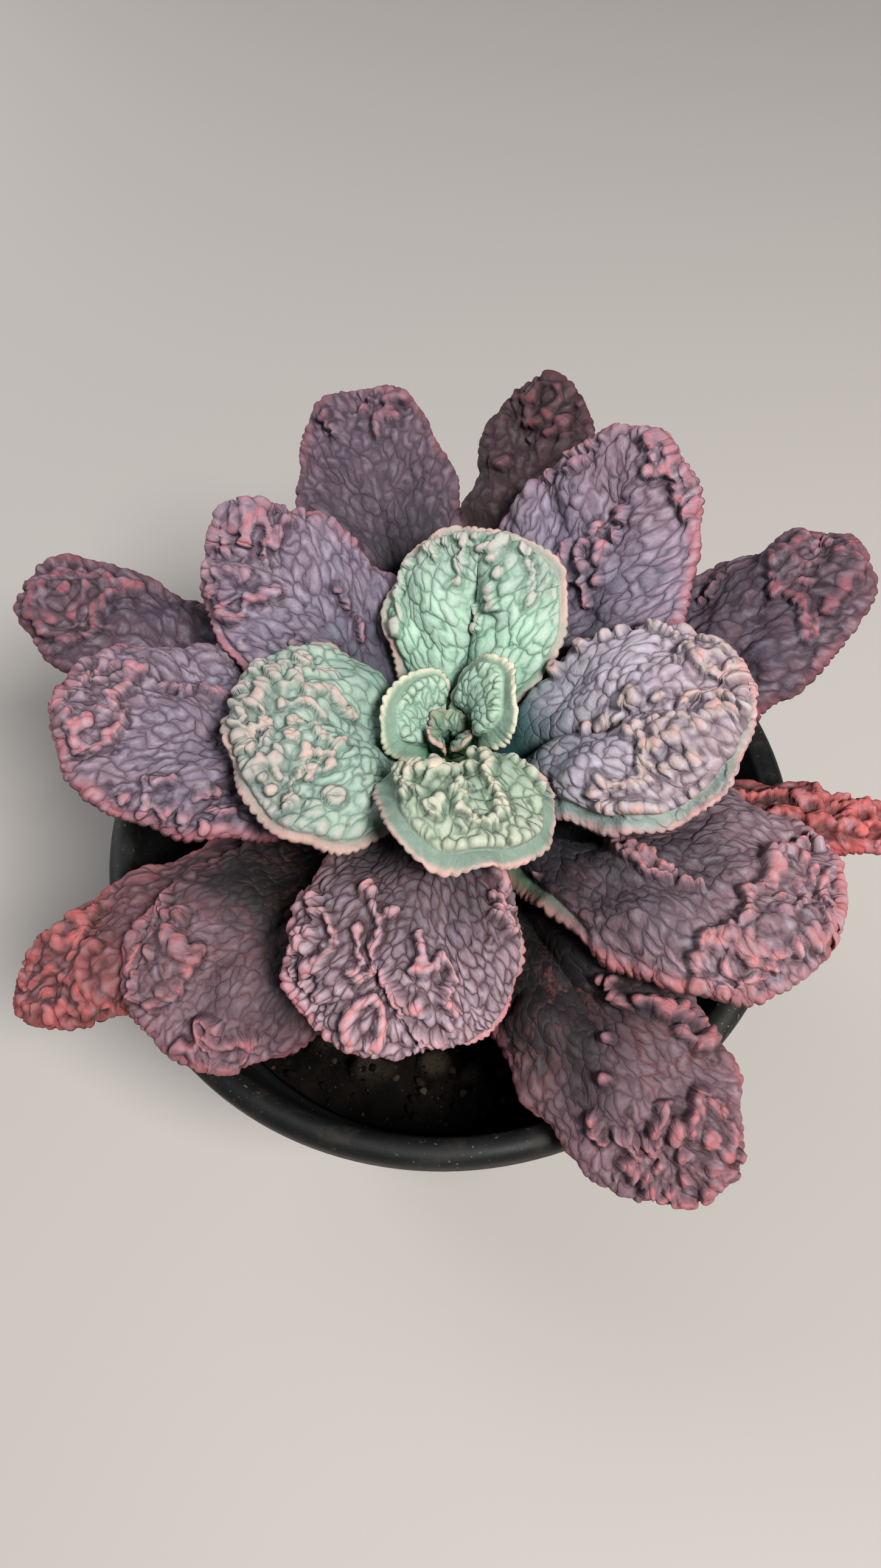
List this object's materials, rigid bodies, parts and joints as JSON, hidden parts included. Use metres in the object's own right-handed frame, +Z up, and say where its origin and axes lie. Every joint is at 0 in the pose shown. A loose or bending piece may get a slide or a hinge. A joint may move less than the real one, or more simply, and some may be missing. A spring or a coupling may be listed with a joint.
{
  "type": "potted echeveria",
  "caption": "Succulent rosette with thick, warty, scalloped leaves on a short bare stem, growing in dark potting mix in a round, flared black nursery pot with a rolled rim.",
  "frame": {"origin": "middle of the flat underside of the pot, where it stands", "axes": "+Z up along the pot's axis; -Y is the front, the side nearest the camera in the picture; +X is to the right seen from the front"},
  "size_m": [0.2474, 0.2263, 0.2168],
  "materials": {
    "leaf_young": "mint green with a powdery bloom, cream and pink warts and a pink scalloped edge",
    "leaf_grown": "mauve grey with a powdery bloom, blue green at the foot, coral pink warts",
    "leaf_outer": "purple brown with a powdery bloom, orange brown flecks and coral warts",
    "leaf_withered": "coral red, crumpled, dry to the touch",
    "stem": "green brown, matte, with pale leaf scars",
    "soil": "dark moist potting mix with rounded stones and grit",
    "pot": "black moulded plastic, half gloss, with smudges and specks of soil"
  },
  "bodies": {
    "root": {"pot": "pot", "soil": "soil", "stem": "stem", "bud_back": "leaf_young", "bud_left": "leaf_young", "bud_right": "leaf_young", "heart_left": "leaf_young", "heart_right": "leaf_young", "young_front": "leaf_young", "young_back": "leaf_young", "young_left": "leaf_young", "young_right": "leaf_young", "middle_back_left": "leaf_grown", "middle_front": "leaf_grown", "middle_back_right": "leaf_grown", "middle_right": "leaf_grown", "middle_left": "leaf_grown", "outer_back": "leaf_outer", "outer_front_right": "leaf_outer", "outer_front_left": "leaf_outer", "lowest_back_left": "leaf_outer", "lowest_back": "leaf_outer", "lowest_right": "leaf_outer", "lowest_front_left": "leaf_outer", "withered": "leaf_withered"}
  },
  "joints": []
}
